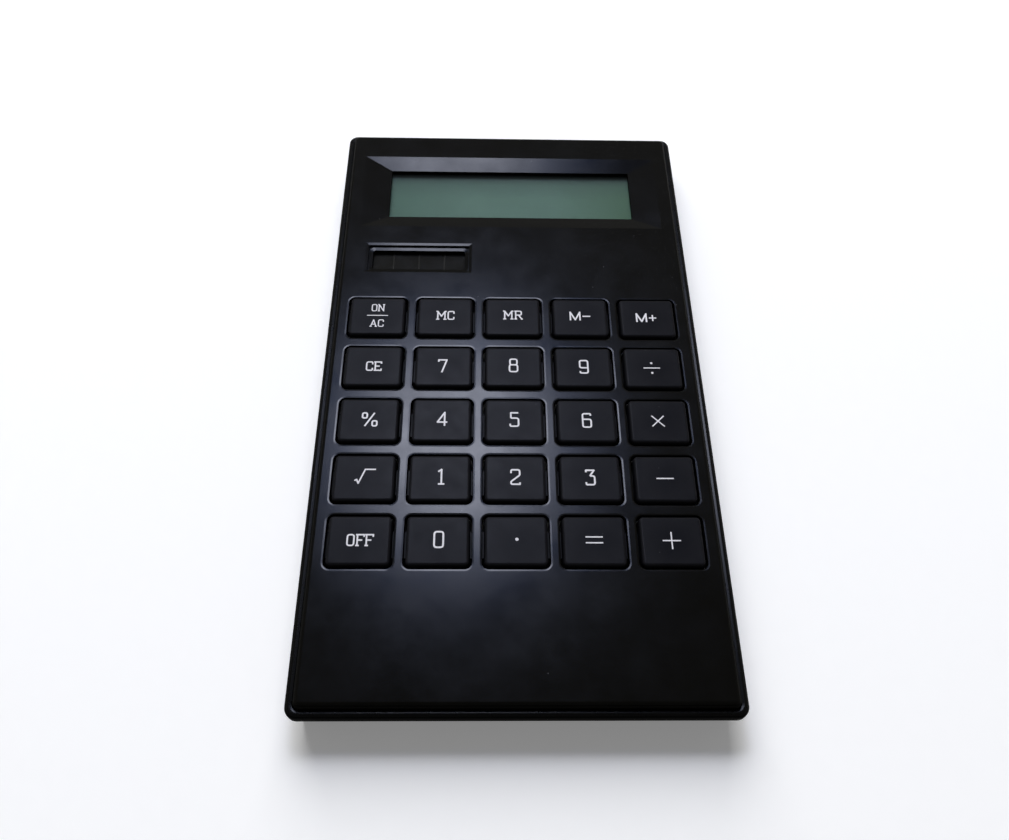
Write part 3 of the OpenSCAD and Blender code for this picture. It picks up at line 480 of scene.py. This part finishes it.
# Strokes of each glyph, about its middle
GLYPHS = {
    "0": [box_loop(-1.15, -2.15, 1.15, 2.15, 0.75)],
    "1": [[(-0.75, 1.5), (0.12, 2.15), (0.12, -2.15)], [(-0.75, -2.15), (0.95, -2.15)]],
    "2": [
        rounded(
            [
                (-1.15, 1.15), (-1.15, 2.15), (1.15, 2.15), (1.15, 0.55), (-1.15, -1.35),
                (-1.15, -2.15),
            ],
            0.6,
        ),
        [(-1.15, -2.15), (1.2, -2.15), (1.2, -1.6)],
    ],
    "3": [
        [(-1.1, 1.55), (-1.1, 2.15), (1.05, 2.15), (-0.1, 0.45)],
        rounded([(-0.1, 0.45), (1.15, 0.45), (1.15, -2.15), (-1.15, -2.15), (-1.15, -1.4)], 0.65),
    ],
    "4": [[(0.6, -2.15), (0.6, 2.15), (-1.35, -0.95), (1.35, -0.95)]],
    "5": [
        [(1.1, 2.15), (-0.95, 2.15), (-0.95, 0.45)],
        rounded([(-0.95, 0.45), (1.15, 0.45), (1.15, -2.15), (-1.15, -2.15), (-1.15, -1.35)], 0.65),
    ],
    "6": [
        rounded(
            [
                (1.05, 1.5), (1.05, 2.15), (-1.15, 2.15), (-1.15, -2.15), (1.15, -2.15),
                (1.15, 0.35), (-1.15, 0.35),
            ],
            0.6,
        ),
    ],
    "7": [[(-1.15, 1.5), (-1.15, 2.15), (1.15, 2.15), (-0.25, -2.15)]],
    "8": [box_loop(-1.0, 0.2, 1.0, 2.15, 0.6), box_loop(-1.15, -2.15, 1.15, 0.2, 0.65)],
    "9": [
        rounded(
            [
                (-1.05, -1.5), (-1.05, -2.15), (1.15, -2.15), (1.15, 2.15), (-1.15, 2.15),
                (-1.15, -0.35), (1.15, -0.35),
            ],
            0.6,
        ),
    ],
    "%": [
        box_loop(-2.0, 0.45, -0.75, 2.05, 0.5),
        box_loop(0.75, -2.05, 2.0, -0.45, 0.5),
        [(1.25, 2.1), (-1.25, -2.1)],
    ],
    "root": [[(-2.6, -1.25), (-2.1, -0.9), (-1.65, -2.0), (-0.1, 1.95), (2.55, 1.95)]],
    "M": [
        [(-1.05, -1.45), (-1.05, 1.45), (0.0, -0.35), (1.05, 1.45), (1.05, -1.45)],
        [(-1.55, -1.45), (-0.6, -1.45)], [(0.6, -1.45), (1.55, -1.45)],
        [(-1.55, 1.45), (-1.05, 1.45)], [(1.05, 1.45), (1.55, 1.45)],
    ],
    "M_plain": [[(-1.35, -1.45), (-1.35, 1.45), (0.0, -1.25), (1.35, 1.45), (1.35, -1.45)]],
    "C": [
        rounded(
            [(0.85, 0.6), (0.85, 1.45), (-0.85, 1.45), (-0.85, -1.45), (0.85, -1.45), (0.85, -0.6)],
            0.6,
        ),
    ],
    "R": [
        [(-0.8, -1.45), (-0.8, 1.45)],
        rounded([(-1.2, 1.45), (0.85, 1.45), (0.85, 0.0), (-0.8, 0.0)], 0.5),
        [(0.05, 0.0), (0.95, -1.45)],
        [(-1.2, -1.45), (-0.4, -1.45)], [(0.7, -1.45), (1.3, -1.45)],
    ],
    "E": [
        [(-0.75, -1.45), (-0.75, 1.45)], [(-0.75, 0.0), (0.5, 0.0)],
        [(-1.15, 1.45), (0.95, 1.45), (0.95, 0.85)],
        [(-1.15, -1.45), (0.95, -1.45), (0.95, -0.85)],
    ],
    "F": [
        [(-0.7, -1.45), (-0.7, 1.45)], [(-0.7, 0.0), (0.55, 0.0)],
        [(-1.1, 1.45), (0.95, 1.45), (0.95, 0.85)], [(-1.1, -1.45), (-0.2, -1.45)],
    ],
    "O": [box_loop(-0.82, -1.45, 0.82, 1.45, 0.65)],
    "N": [
        [(-0.85, -1.45), (-0.85, 1.45), (0.85, -1.45), (0.85, 1.45)],
        [(-1.25, 1.45), (-0.85, 1.45)], [(-1.25, -1.45), (-0.45, -1.45)],
        [(0.45, 1.45), (1.25, 1.45)],
    ],
    "A": [
        [(-0.95, -1.45), (0.0, 1.45), (0.95, -1.45)], [(-0.6, -0.5), (0.6, -0.5)],
        [(-1.35, -1.45), (-0.55, -1.45)], [(0.55, -1.45), (1.35, -1.45)],
    ],
    "minus": [[(-2.2, 0.0), (2.2, 0.0)]],
    "plus": [[(-2.4, 0.0), (2.4, 0.0)], [(0.0, -2.4), (0.0, 2.4)]],
    "times": [[(-1.8, -1.8), (1.8, 1.8)], [(-1.8, 1.8), (1.8, -1.8)]],
    "equals": [[(-2.2, 0.8), (2.2, 0.8)], [(-2.2, -0.8), (2.2, -0.8)]],
    "divide": [[(-2.25, 0.0), (2.25, 0.0)]],
    "bar": [[(-2.95, 0.0), (2.95, 0.0)]],
    "dot": [],
}
# Round dots of a glyph: x, y, radius
DOTS = {"dot": [(0.0, 0.0, 0.42)], "divide": [(0.0, 1.6, 0.32), (0.0, -1.6, 0.32)]}

# Stroke widths, and the scale of the digits and of the two-line legend
DIGIT_STROKE = 0.45
DIGIT_SCALE = 0.95
SIGN_STROKE = 0.33
WORD_STROKE = 0.40
SMALL_STROKE = 0.31
SMALL_SCALE = 0.78

# What each key carries: glyph, x, y, scale and stroke width, from the legend's middle
LEGENDS = {
    "on_ac": [
        ("O", -1.0, 3.0, SMALL_SCALE, SMALL_STROKE),
        ("N", 0.95, 3.0, SMALL_SCALE, SMALL_STROKE),
        ("bar", 0.0, 0.3, 1.0, 0.26),
        ("A", -0.95, -2.4, SMALL_SCALE, SMALL_STROKE),
        ("C", 1.1, -2.4, SMALL_SCALE, SMALL_STROKE),
    ],
    "mc": [("M", -1.15, 0.0, 0.95, WORD_STROKE), ("C", 1.55, 0.0, 0.95, WORD_STROKE)],
    "mr": [("M", -1.4, 0.0, 0.95, WORD_STROKE), ("R", 1.45, 0.0, 0.95, WORD_STROKE)],
    "m_minus": [("M_plain", -1.35, 0.0, 1.0, 0.44), ("minus", 1.85, 0.0, 0.5, WORD_STROKE)],
    "m_plus": [("M_plain", -1.3, 0.0, 1.0, 0.46), ("plus", 1.85, 0.0, 0.44, WORD_STROKE)],
    "ce": [("C", -1.15, 0.0, 0.94, WORD_STROKE), ("E", 1.1, 0.0, 0.94, WORD_STROKE)],
    "divide": [("divide", 0.0, 0.0, 1.0, SIGN_STROKE)],
    "percent": [("%", 0.0, 0.0, 0.96, 0.44)],
    "multiply": [("times", 0.0, 0.0, 0.9, SIGN_STROKE)],
    "root": [("root", 0.0, 0.0, 1.0, 0.38)],
    "minus": [("minus", 0.0, 0.0, 1.0, SIGN_STROKE)],
    "off": [
        ("O", -2.2, 0.0, 0.97, WORD_STROKE), ("F", 0.1, 0.0, 0.97, WORD_STROKE),
        ("F", 2.3, 0.0, 0.97, WORD_STROKE),
    ],
    "point": [("dot", 0.0, 0.0, 1.0, SIGN_STROKE)],
    "equals": [("equals", 0.0, 0.0, 0.96, SIGN_STROKE)],
    "plus": [("plus", 0.0, 0.0, 0.94, SIGN_STROKE)],
}
for digit in "0123456789":
    LEGENDS[digit] = [(digit, 0.0, 0.0, DIGIT_SCALE, DIGIT_STROKE)]


def stroke_faces(line, width):
    """Flat polygons that cover a polyline: a strip for each leg and a disc at each joint."""
    faces = []
    for start, end in zip(line, line[1:]):
        a, b = Vector(start), Vector(end)
        if (b - a).length < TINY:
            continue
        side = (b - a).normalized().orthogonal() * (width / 2)
        faces.append([tuple(a - side), tuple(b - side), tuple(b + side), tuple(a + side)])
    inner = line[1:-1] if line[0] != line[-1] else line[1:]
    faces += [disc(x, y, width / 2) for x, y in inner]
    return faces


def legend_faces(marks):
    faces = []
    for glyph, x, y, scale, width in marks:
        for line in GLYPHS[glyph]:
            faces += stroke_faces([(x + px * scale, y + py * scale) for px, py in line], width)
        for px, py, radius in DOTS.get(glyph, []):
            faces.append(disc(x + px * scale, y + py * scale, radius, DOT_SIDES))
    return faces


def covered(point, faces):
    """Whether a point lies in one of the convex polygons, whose corners run anticlockwise."""
    for face in faces:
        if all(
            (b[0] - a[0]) * (point.y - a[1]) >= (b[1] - a[1]) * (point.x - a[0])
            for a, b in zip(face, face[1:] + face[:1])
        ):
            return True
    return False


def film_mesh(name, faces, bottom, top):
    """Closed thin solid whose plan is the union of the flat polygons, all in millimetres."""
    points, loops = [], []
    for face in faces:
        loops.append(list(range(len(points), len(points) + len(face))))
        points += [Vector(p) for p in face]
    flat, _, tris, _, _, _ = delaunay_2d_cdt(points, [], loops, 0, MERGE)
    tris = [(a, b, c) for a, b, c in tris if covered((flat[a] + flat[b] + flat[c]) / 3, faces)]
    used = sorted({i for tri in tris for i in tri})
    place = {old: new for new, old in enumerate(used)}
    count = len(used)
    verts = [(flat[i].x * MM, flat[i].y * MM, z * MM) for z in (bottom, top) for i in used]
    shell = []
    edges = {}
    for tri in tris:
        tri = [place[i] for i in tri]
        a, b, c = (flat[used[i]] for i in tri)
        if (b - a).cross(c - a) < 0:
            tri.reverse()
        shell.append([i + count for i in tri])
        shell.append(list(reversed(tri)))
        for first, second in zip(tri, tri[1:] + tri[:1]):
            edges[first, second] = True
    for first, second in edges:
        if (second, first) not in edges:
            shell.append([first, second, second + count, first + count])
    mesh = bpy.data.meshes.new(name)
    mesh.from_pydata(verts, [], shell)
    mesh.validate()
    mesh.update()
    return mesh


def new_piece(name, mesh, finish, body):
    piece = bpy.data.objects.new(name, mesh)
    bpy.context.scene.collection.objects.link(piece)
    mesh.materials.append(finish)
    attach(piece, body)
    return piece


def key_middle(name):
    """Middle of a key in plan, and the height of its top, in metres."""
    low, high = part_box("key_" + name)
    return (low.x + high.x) / 2, (low.y + high.y) / 2, high.z


# Each key is printed on its own, so its legend stands a little off the key's middle: x, y
PRINT_OFFSETS = {
    "on_ac": (0.05, -0.15), "mc": (0.10, 0.35), "mr": (0.15, 0.65), "m_minus": (-0.05, 0.40),
    "m_plus": (-0.35, 0.00), "ce": (0.20, -0.10), "7": (-0.20, 0.05), "8": (0.00, 0.45),
    "9": (0.15, 0.15), "divide": (-0.30, -0.10), "percent": (0.25, 0.05), "4": (0.20, 0.25),
    "5": (0.00, 0.25), "6": (0.05, 0.10), "multiply": (-0.20, 0.00), "root": (0.30, 0.35),
    "1": (0.30, 0.30), "2": (0.05, 0.30), "3": (0.00, 0.25), "minus": (-0.05, 0.05),
    "off": (0.20, 0.00), "0": (0.25, 0.20), "point": (0.20, 0.30), "equals": (0.00, 0.20),
    "plus": (-0.10, 0.05),
}
for name in KEYS:
    x, y, top = (value / MM for value in key_middle(name))
    shift = Vector((x, y)) + Vector(PRINT_OFFSETS[name])
    faces = [
        [(px + shift.x, py + shift.y) for px, py in face] for face in legend_faces(LEGENDS[name])
    ]
    mesh = film_mesh("legend_" + name, faces, top - INK_BELOW, top + INK_ABOVE)
    new_piece("legend_" + name, mesh, ink_finish, "key_" + name)


# Keypad mat: a sheet with holes, and a dome under each key

mat_low, mat_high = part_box("keypad_mat")
# Thickness of the sheet; height, radius, radius of the roof and wall of a dome, in millimetres
SHEET_T = 0.8
DOME_H = 2.4
DOME_R = 4.5
DOME_TOP_R = 2.5
DOME_WALL = 0.5
DOME_SIDES = 40
# The rounded shoulder of a dome: how far out from the roof's radius and how far down from its top
SHOULDER = ((0.12, 0.12), (0.0, 0.03), (-0.15, 0.0))
# Contact tip under a dome's roof: radius, height, hollow of its middle, flat share and rounding
TIP_R = 1.5
TIP_Z = 1.1
TIP_HOLLOW = 0.06
TIP_FLAT = 0.8
TIP_ROUND = 0.15
# How far a dome overlaps its hole, and the radius of the holes for the posts
DOME_LAP = 0.02
POST_HOLE_R = 2.15


def revolved(name, x, y, z, profile, sides):
    """Solid of revolution about a vertical axis in metres; the half section is in millimetres."""
    verts, faces = [], []
    rings = []
    for radius, height in profile:
        if radius == 0:
            rings.append([len(verts)] * sides)
            verts.append((x, y, z + height * MM))
            continue
        rings.append(list(range(len(verts), len(verts) + sides)))
        for i in range(sides):
            turn = 2 * math.pi * i / sides
            reach = radius * MM
            verts.append((x + reach * math.cos(turn), y + reach * math.sin(turn), z + height * MM))
    for lower, upper in zip(rings, rings[1:]):
        for i in range(sides):
            j = (i + 1) % sides
            quad = [lower[i], lower[j], upper[j], upper[i]]
            faces.append(list(dict.fromkeys(quad)))
    mesh = bpy.data.meshes.new(name)
    mesh.from_pydata(verts, [], faces)
    mesh.validate()
    mesh.update()
    return mesh


def dome_profile():
    """Half section of a dome: from the tip, out and down inside, and back up outside."""
    lean = (DOME_R - DOME_TOP_R) / (DOME_H - SHEET_T)
    roof = DOME_H - DOME_WALL
    foot = DOME_R - DOME_WALL
    roof_r = foot - lean * (roof - SHEET_T)
    tip = [(0, TIP_Z + TIP_HOLLOW), (TIP_R * TIP_FLAT, TIP_Z), (TIP_R, TIP_Z + TIP_ROUND)]
    inside = [(TIP_R, roof), (roof_r, roof), (foot, SHEET_T), (foot, 0.0)]
    shoulder = [(DOME_TOP_R + out, DOME_H - down) for out, down in SHOULDER]
    return tip + inside + [(DOME_R, 0.0), (DOME_R, SHEET_T), *shoulder, (0, DOME_H)]


def sheet_with_holes(name):
    """The mat's sheet, cut round the domes and the board's posts."""
    holes = []
    centres = {}
    for key in KEYS:
        x, y, _ = key_middle(key)
        centres[key] = (x / MM, y / MM)
        holes.append((*centres[key], DOME_R - DOME_LAP, DOME_SIDES))
    first_column = ("on_ac", "ce", "percent", "root", "off")
    for left, right in (("7", "ce"), ("9", "divide")):
        for upper, lower in zip(first_column, first_column[1:]):
            x = (centres[left][0] + centres[right][0]) / 2
            y = (centres[upper][1] + centres[lower][1]) / 2
            holes.append((x, y, POST_HOLE_R, DOT_SIDES))
    x0, y0, x1, y1 = mat_low.x / MM, mat_low.y / MM, mat_high.x / MM, mat_high.y / MM
    outline = [(x0, y0), (x1, y0), (x1, y1), (x0, y1)]
    points = [Vector(p) for p in outline]
    loops = [[0, 1, 2, 3]]
    for x, y, radius, sides in holes:
        loops.append(list(range(len(points), len(points) + sides)))
        points += [Vector(p) for p in disc(x, y, radius, sides)]
    flat, _, tris, _, _, sources = delaunay_2d_cdt(points, [], loops, 0, MERGE)
    sheet_tris = [tri for tri, source in zip(tris, sources) if source == [0]]
    faces = [[tuple(flat[i]) for i in tri] for tri in sheet_tris]
    return film_mesh(name, faces, mat_low.z / MM, mat_low.z / MM + SHEET_T)


sheet = new_piece("mat_sheet", sheet_with_holes("mat_sheet"), silicone_finish, "case")
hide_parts("keypad_mat")
for name in KEYS:
    x, y, _ = key_middle(name)
    mesh = revolved("mat_dome_" + name, x, y, mat_low.z, dome_profile(), DOME_SIDES)
    dome = new_piece("mat_dome_" + name, mesh, silicone_finish, "case")
    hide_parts("keypad_mat")
    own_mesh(dome)


# Studio

def area_lamp(name, place, aim, size, radiance, colour, gloss=True, shape="DISK"):
    """Soft lamp of an even radiance, pointed at aim."""
    light = bpy.data.lights.new(name, "AREA")
    light.shape = shape
    light.size = size
    area = math.pi * size * size / 4 if shape == "DISK" else size * size
    light.energy = radiance * math.pi * area
    light.color = colour
    lamp = bpy.data.objects.new(name, light)
    lamp.location = place
    lamp.rotation_euler = (Vector(aim) - Vector(place)).to_track_quat("-Z", "Y").to_euler()
    lamp.visible_camera = False
    lamp.visible_glossy = gloss
    bpy.context.scene.collection.objects.link(lamp)


# Beyond the far end, a soft lamp with a blue halo gives the face its sheen; a wide one is the fill
SHEEN_PLACE = (-0.040, 0.320, 0.620)
SHEEN_AIM = (-0.015, -0.022, 0.012)
WIDE_PLACE = (-0.30, 2.20, 1.72)
MIDDLE = (0.0, 0.0, 0.0)
WHITE = (1.0, 1.0, 1.0)
area_lamp(
    "sheen_lamp", SHEEN_PLACE, SHEEN_AIM, size=0.18, radiance=9.7, colour=(0.79, 0.83, 1.0)
)
area_lamp(
    "sheen_halo", SHEEN_PLACE, SHEEN_AIM, size=0.29, radiance=1.1, colour=(0.10, 0.30, 1.0)
)
area_lamp(
    "wide_fill", WIDE_PLACE, MIDDLE, size=2.4, radiance=5.6, colour=WHITE,
    gloss=False, shape="SQUARE",
)

# Brightness of the room from the horizon, at 0, to overhead, at 1
ROOM = ((0.0, 0.30), (0.12, 0.24), (0.3, 0.155), (0.67, 0.10), (0.95, 0.038), (1.0, 0.03))
FLOOR_SIZE = 6.0
FLOOR_GLOW = 0.18


def dim_room():
    """A dim room, pale at the horizon and dark overhead."""
    world = bpy.data.worlds.new("studio_world")
    bpy.context.scene.world = world
    world.use_nodes = True
    tree = world.node_tree
    height = axes(tree, coords(tree, "Generated"))["Z"]
    room = ramp(tree, height, *((place, (grey, grey, grey)) for place, grey in ROOM))
    tree.links.new(room, tree.nodes["Background"].inputs["Color"])


def pale_floor(size):
    """Near-white paper floor that keeps the object's shadow, brighter where it is seen directly."""
    half = size / 2
    mesh = bpy.data.meshes.new("floor")
    corners = [(-half, -half, 0), (half, -half, 0), (half, half, 0), (-half, half, 0)]
    mesh.from_pydata(corners, [], [(0, 1, 2, 3)])
    floor = bpy.data.objects.new("floor", mesh)
    bpy.context.scene.collection.objects.link(floor)
    material, tree, shader = new_material("floor_paper")
    fibre = noise(tree, coords(tree), 300.0, roughness=0.5)
    paper = two_tones(tree, fibre, (0.95, 0.95, 0.95), (0.97, 0.97, 0.97))
    tree.links.new(paper, shader.inputs["Base Color"])
    shader.inputs["Roughness"].default_value = 0.9
    shader.inputs["Specular IOR Level"].default_value = 0.1
    path = add(tree, "ShaderNodeLightPath")
    seen = path.outputs["Is Camera Ray"]
    for ray in ("Is Transmission Ray", "Is Glossy Ray"):
        seen = math_node(tree, "MAXIMUM", seen, path.outputs[ray])
    shader.inputs["Emission Color"].default_value = (*WHITE, 1.0)
    glow = math_node(tree, "MULTIPLY", seen, FLOOR_GLOW)
    tree.links.new(glow, shader.inputs["Emission Strength"])
    mesh.materials.append(material)


dim_room()
pale_floor(FLOOR_SIZE)

# Camera of the photograph: place, axes and focal length in pixels of the 1009 x 840 frame
CAMERA_PLACE = Vector((-8.113, -138.954, 214.396)) * MM
CAMERA_RIGHT = Vector((0.999709, -0.007458, 0.022951))
CAMERA_DOWN = Vector((0.005490, -0.855822, -0.517242))
CAMERA_AHEAD = Vector((0.023499, 0.517217, -0.855532))
IMAGE_W = 1009
FOCAL_PX = 900.37

lens = bpy.data.cameras.new("camera")
lens.sensor_fit = "HORIZONTAL"
lens.sensor_width = 36.0
lens.lens = FOCAL_PX / IMAGE_W * lens.sensor_width
lens.clip_start = 0.005
lens.clip_end = 50.0
camera = bpy.data.objects.new("camera", lens)
turn = Matrix((CAMERA_RIGHT, -CAMERA_DOWN, -CAMERA_AHEAD)).transposed().to_4x4()
camera.matrix_world = Matrix.Translation(CAMERA_PLACE) @ turn
bpy.context.scene.collection.objects.link(camera)
bpy.context.scene.camera = camera
bpy.context.scene.view_settings.view_transform = "Standard"
